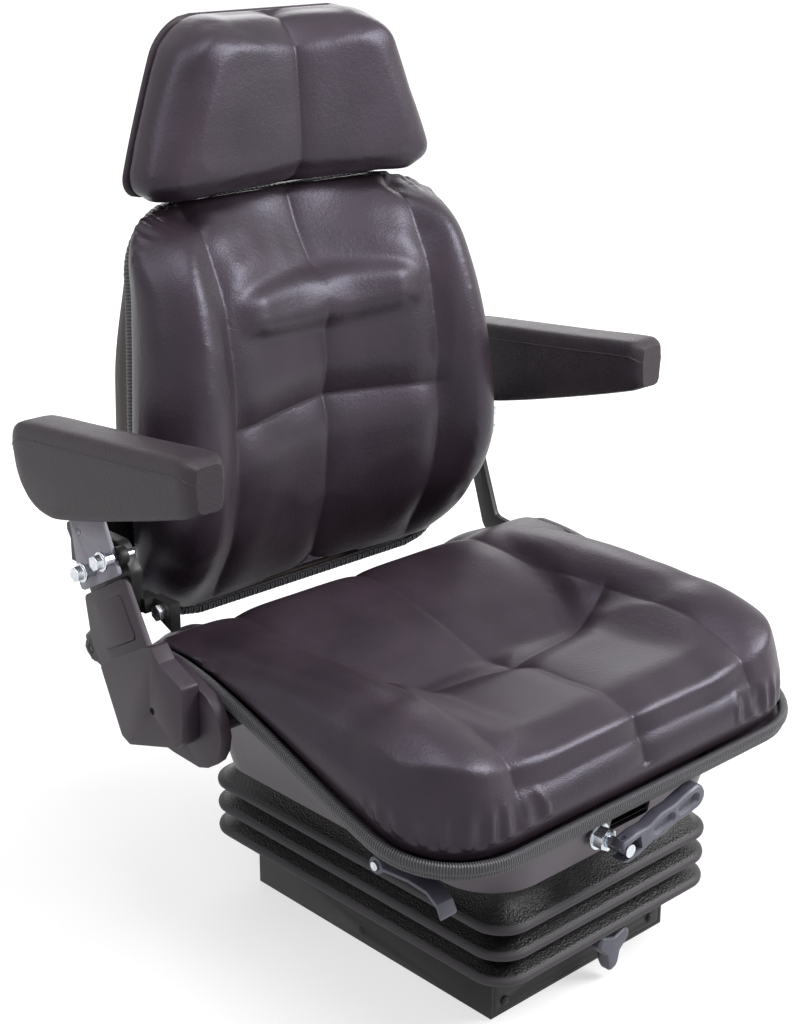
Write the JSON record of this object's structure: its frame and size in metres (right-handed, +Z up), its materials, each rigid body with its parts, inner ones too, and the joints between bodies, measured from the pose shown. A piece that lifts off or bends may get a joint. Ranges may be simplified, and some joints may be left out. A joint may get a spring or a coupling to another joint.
{
  "type": "tractor suspension seat",
  "caption": "Machine seat with stitched black cushions, folding armrests, headrest, reclining back and a scissor suspension under ribbed bellows.",
  "frame": {"origin": "centre of the base box's underside, on the machine's floor", "axes": "+Z up, the occupant looks along -Y, +X is the occupant's left-hand side"},
  "size_m": [0.588, 0.5467, 0.828],
  "materials": {
    "black_paint": "satin black powder coat",
    "grey_paint": "blue-grey powder coat",
    "zinc": "bright zinc plating",
    "steel": "drawn steel",
    "black_vinyl": "soft grained leatherette with a satin sheen",
    "black_rubber": "matt moulded rubber",
    "black_plastic": "fine-grained moulded plastic",
    "grey_plastic": "smooth blue-grey plastic",
    "foam_skin": "integral foam with a fine-grained skin"
  },
  "bodies": {
    "base": {"base_tray": "black_paint", "base_front_plate": "black_paint", "rivet_front_left": "black_paint", "rivet_front_right": "black_paint", "damper_cylinder": "black_paint", "bellows": "black_rubber"},
    "height_adjuster": {"height_knob": "grey_plastic"},
    "outer_frame": {"outer_scissor": "black_paint", "scissor_pivot_bar": "zinc"},
    "inner_frame": {"inner_scissor": "black_paint"},
    "lower_wheel_left": {"lower_roller_left": "black_plastic"},
    "lower_wheel_right": {"lower_roller_right": "black_plastic"},
    "upper_wheel_left": {"upper_roller_left": "black_plastic"},
    "upper_wheel_right": {"upper_roller_right": "black_plastic"},
    "upper": {"upper_frame": "black_paint", "fixed_rail_left": "steel", "fixed_rail_right": "steel", "damper_rod": "zinc"},
    "springs": {"spring_left": "zinc", "spring_right": "zinc"},
    "tension": {"tension_block": "zinc"},
    "crank": {"crank_spindle": "zinc", "spindle_nut": "zinc"},
    "handle": {"crank_handle": "grey_plastic", "handle_pin": "zinc"},
    "seat": {"slider_left": "steel", "slider_right": "steel", "seat_pan": "black_paint", "pan_edge_trim": "black_rubber", "seat_cushion": "black_vinyl", "hinge_bracket_left": "black_plastic", "hinge_bracket_right": "black_plastic", "hinge_pin_left": "zinc", "hinge_pin_right": "zinc", "slide_lever_pin": "zinc"},
    "lever": {"slide_lever": "grey_plastic"},
    "back": {"back_pan": "black_plastic", "back_edge_trim": "black_rubber", "back_cushion": "black_vinyl", "back_arm_left": "black_paint", "back_arm_right": "black_paint", "hinge_cover_left": "black_plastic", "arm_bracket_left": "grey_paint", "arm_bracket_right": "grey_paint", "arm_bolt_1_left": "zinc", "arm_bolt_2_left": "zinc", "arm_bolt_1_right": "zinc", "arm_bolt_2_right": "zinc", "back_bolt_left": "zinc"},
    "recline_adjuster": {"recline_knob": "black_plastic"},
    "armrest_left": {"arm_pad_left": "foam_skin"},
    "armrest_right": {"arm_pad_right": "foam_skin"},
    "headrest": {"headrest_shell": "black_plastic", "headrest_cushion": "black_vinyl", "headrest_post_left": "zinc", "headrest_post_right": "zinc"}
  },
  "joints": [
    {"name": "suspension", "type": "slide", "parent": "base", "child": "upper", "axis": [0, 0, 1], "range_m": [-0.06, 0], "stiffness_N_per_m": 6000, "springref_m": 0.06, "deforming": ["bellows"]},
    {"name": "outer_frame_fold", "type": "hinge", "parent": "base", "child": "outer_frame", "pos_m": [0, 0.115, 0.0145], "axis": [-1, 0, 0], "range_deg": [-14.6, 0]},
    {"name": "scissor_cross", "type": "hinge", "parent": "outer_frame", "child": "inner_frame", "pos_m": [0, 0.00275, 0.0695], "axis": [-1, 0, 0], "range_deg": [0, 29.2]},
    {"name": "recline", "type": "hinge", "parent": "seat", "child": "back", "pos_m": [0, 0.095, 0.262], "axis": [-1, 0, 0], "range_deg": [-12, 20]},
    {"name": "recline_knob_turn", "type": "hinge", "parent": "back", "child": "recline_adjuster", "pos_m": [-0.25, 0.212, 0.278], "axis": [-1, 0, 0], "range_deg": [-242, 402]},
    {"name": "seat_slide", "type": "slide", "parent": "upper", "child": "seat", "axis": [0, 1, 0], "range_m": [0, 0.15]},
    {"name": "slide_lever_lift", "type": "hinge", "parent": "seat", "child": "lever", "pos_m": [-0.206, -0.12, 0.1762], "axis": [-1, 0, 0], "range_deg": [0, 8], "stiffness_Nm_per_rad": 0.5, "springref_deg": -11.46},
    {"name": "weight_crank", "type": "hinge", "parent": "upper", "child": "crank", "pos_m": [-0.025, -0.2338, 0.163], "axis": [0, 1, 0], "range_deg": [0, 200]},
    {"name": "handle_fold", "type": "hinge", "parent": "crank", "child": "handle", "pos_m": [-0.025, -0.2263, 0.163], "axis": [0.2079, 0, -0.9781], "range_deg": [0, 90]},
    {"name": "block_travel", "type": "slide", "parent": "upper", "child": "tension", "axis": [0, 1, 0], "range_m": [0, 0.0175]},
    {"name": "spring_stretch", "type": "slide", "parent": "upper", "child": "springs", "axis": [0, 1, 0], "range_m": [-0.0216, 0]},
    {"name": "height_knob_turn", "type": "hinge", "parent": "base", "child": "height_adjuster", "pos_m": [0.012, -0.16, 0.031], "axis": [0, -1, 0], "range_deg": [-90, 90]},
    {"name": "headrest_lift", "type": "slide", "parent": "back", "child": "headrest", "axis": [0, 0.0896, 0.996], "range_m": [0, 0.06]},
    {"name": "armrest_fold_left", "type": "hinge", "parent": "back", "child": "armrest_left", "pos_m": [-0.27, 0.24, 0.44], "axis": [-1, 0, 0], "range_deg": [0, 95]},
    {"name": "lower_wheel_turn_left", "type": "hinge", "parent": "inner_frame", "child": "lower_wheel_left", "pos_m": [-0.105, -0.1095, 0.0145], "axis": [-1, 0, 0], "range_deg": [-146, 0]},
    {"name": "upper_wheel_turn_left", "type": "hinge", "parent": "outer_frame", "child": "upper_wheel_left", "pos_m": [-0.105, -0.1095, 0.1245], "axis": [1, 0, 0], "range_deg": [-146, 0]},
    {"name": "armrest_fold_right", "type": "hinge", "parent": "back", "child": "armrest_right", "pos_m": [0.27, 0.24, 0.44], "axis": [-1, 0, 0], "range_deg": [0, 95]},
    {"name": "lower_wheel_turn_right", "type": "hinge", "parent": "inner_frame", "child": "lower_wheel_right", "pos_m": [0.105, -0.1095, 0.0145], "axis": [-1, 0, 0], "range_deg": [-146, 0]},
    {"name": "upper_wheel_turn_right", "type": "hinge", "parent": "outer_frame", "child": "upper_wheel_right", "pos_m": [0.105, -0.1095, 0.1245], "axis": [1, 0, 0], "range_deg": [-146, 0]}
  ],
  "couplings": [
    {"joint": "outer_frame_fold", "follows": "suspension", "rad_per_m": 4.238},
    {"joint": "scissor_cross", "follows": "suspension", "rad_per_m": -8.476},
    {"joint": "spring_stretch", "follows": "suspension", "ratio": 0.355},
    {"joint": "block_travel", "follows": "weight_crank", "m_per_rad": 0.0002785},
    {"joint": "recline_knob_turn", "follows": "recline", "ratio": 20},
    {"joint": "lower_wheel_turn_left", "follows": "suspension", "rad_per_m": 42.07},
    {"joint": "upper_wheel_turn_left", "follows": "suspension", "rad_per_m": 42.07},
    {"joint": "lower_wheel_turn_right", "follows": "suspension", "rad_per_m": 42.07},
    {"joint": "upper_wheel_turn_right", "follows": "suspension", "rad_per_m": 42.07}
  ]
}
